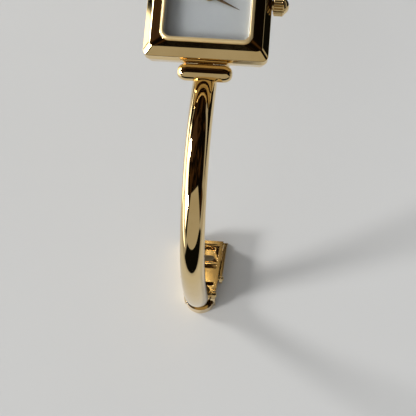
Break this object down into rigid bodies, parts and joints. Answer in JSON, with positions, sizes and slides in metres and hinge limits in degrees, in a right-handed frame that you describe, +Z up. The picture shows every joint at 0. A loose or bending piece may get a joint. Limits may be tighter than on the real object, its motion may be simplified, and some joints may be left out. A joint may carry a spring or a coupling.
{
  "type": "bangle watch",
  "caption": "Square gilt quartz watch on two hinged round bangle arms that close with a slotted ladder and a fold-over clasp.",
  "frame": {"origin": "centre of the bounding box on the floor", "axes": "+Z up out of the dial, +Y towards 12 o'clock, +X towards the crown"},
  "size_m": [0.02, 0.0772, 0.0388],
  "materials": {
    "gilt": "polished gold plate",
    "hand_gilt": "polished",
    "crystal_glass": "clear, flat",
    "gasket": "matte",
    "dial_white": "satin white",
    "steel": "fine brushed",
    "movement_plate": "matte",
    "holder_plastic": "moulded",
    "coil_copper": "enamelled wire",
    "board": "lacquered"
  },
  "bodies": {
    "watch_head": {"bezel": "gilt", "case_middle": "gilt", "crystal": "crystal_glass", "crystal_gasket": "gasket", "case_back": "steel", "back_gasket": "gasket", "dial": "dial_white", "main_plate": "movement_plate", "movement_ring": "holder_plastic", "stator": "steel", "coil": "coil_copper", "train_bridge": "movement_plate", "bridge_screws": "steel", "battery_cell": "steel", "battery_clamp": "steel", "circuit_board": "board", "quartz_can": "steel", "crown_tube": "gilt"},
    "minute_group": {"minute_hand": "hand_gilt", "cannon_pinion": "movement_plate"},
    "hour_group": {"hour_hand": "hand_gilt", "hour_wheel": "movement_plate"},
    "minute_wheel_group": {"minute_wheel": "movement_plate"},
    "centre_wheel_group": {"centre_wheel": "movement_plate"},
    "third_wheel_group": {"third_wheel": "movement_plate"},
    "rotor_group": {"rotor": "steel"},
    "yoke_group": {"setting_yoke": "steel"},
    "crown_group": {"crown": "gilt", "crown_gasket": "gasket", "winding_stem": "steel", "clutch_pinion": "steel"},
    "six_arm_group": {"six_arm": "gilt", "six_arm_pin": "steel"},
    "twelve_arm_group": {"twelve_arm": "gilt", "twelve_arm_pin": "steel"},
    "tray_group": {"clasp_tray": "gilt", "tray_pin": "gilt", "cover_pin": "gilt"},
    "cover_group": {"clasp_cover": "gilt"},
    "ladder_group": {"ladder_link": "gilt", "ladder_pin": "gilt"}
  },
  "joints": [
    {"name": "six_arm_hinge", "type": "hinge", "parent": "watch_head", "child": "six_arm_group", "pos_m": [-0.00119, -0.01031, 0.03445], "axis": [1, 0, 0], "range_deg": [0, 24]},
    {"name": "twelve_arm_hinge", "type": "hinge", "parent": "watch_head", "child": "twelve_arm_group", "pos_m": [-0.00119, 0.01031, 0.03445], "axis": [-1, 0, 0], "range_deg": [0, 24]},
    {"name": "tray_hinge", "type": "hinge", "parent": "six_arm_group", "child": "tray_group", "pos_m": [-0.00119, -0.03346, 0.00267], "axis": [1, 0, 0], "range_deg": [-26, 38]},
    {"name": "cover_hinge", "type": "hinge", "parent": "tray_group", "child": "cover_group", "pos_m": [-0.00119, -0.03026, 0.00075], "axis": [-1, 0, 0], "range_deg": [0, 85]},
    {"name": "ladder_hinge", "type": "hinge", "parent": "twelve_arm_group", "child": "ladder_group", "pos_m": [-0.00119, 0.03346, 0.00267], "axis": [-1, 0, 0], "range_deg": [-26, 38]},
    {"name": "crown_pull", "type": "slide", "parent": "watch_head", "child": "yoke_group", "axis": [1, 0, 0], "range_m": [0, 0.0008]},
    {"name": "crown_turn", "type": "hinge", "parent": "yoke_group", "child": "crown_group", "pos_m": [-0.00119, 0, 0.03577], "axis": [1, 0, 0], "continuous": true},
    {"name": "minute_hand_turn", "type": "hinge", "parent": "watch_head", "child": "minute_group", "pos_m": [-0.00119, 0, 0.03757], "axis": [0, 0, -1], "continuous": true},
    {"name": "hour_hand_turn", "type": "hinge", "parent": "watch_head", "child": "hour_group", "pos_m": [-0.00119, 0, 0.03757], "axis": [0, 0, -1], "continuous": true},
    {"name": "minute_wheel_turn", "type": "hinge", "parent": "watch_head", "child": "minute_wheel_group", "pos_m": [-0.00297, -0.00065, 0.03757], "axis": [0, 0, -1], "continuous": true},
    {"name": "third_wheel_turn", "type": "hinge", "parent": "watch_head", "child": "third_wheel_group", "pos_m": [0.00001, 0.00206, 0.03599], "axis": [0, 0, -1], "continuous": true},
    {"name": "centre_wheel_turn", "type": "hinge", "parent": "watch_head", "child": "centre_wheel_group", "pos_m": [-0.00119, 0, 0.03623], "axis": [0, 0, -1], "continuous": true},
    {"name": "rotor_turn", "type": "hinge", "parent": "watch_head", "child": "rotor_group", "pos_m": [-0.00155, 0.00296, 0.03549], "axis": [0, 0, -1], "continuous": true}
  ],
  "couplings": [
    {"joint": "hour_hand_turn", "follows": "minute_hand_turn", "ratio": 0.083333},
    {"joint": "minute_wheel_turn", "follows": "minute_hand_turn", "ratio": -0.33333},
    {"joint": "centre_wheel_turn", "follows": "third_wheel_turn", "ratio": -0.13333},
    {"joint": "rotor_turn", "follows": "third_wheel_turn", "ratio": -8}
  ]
}
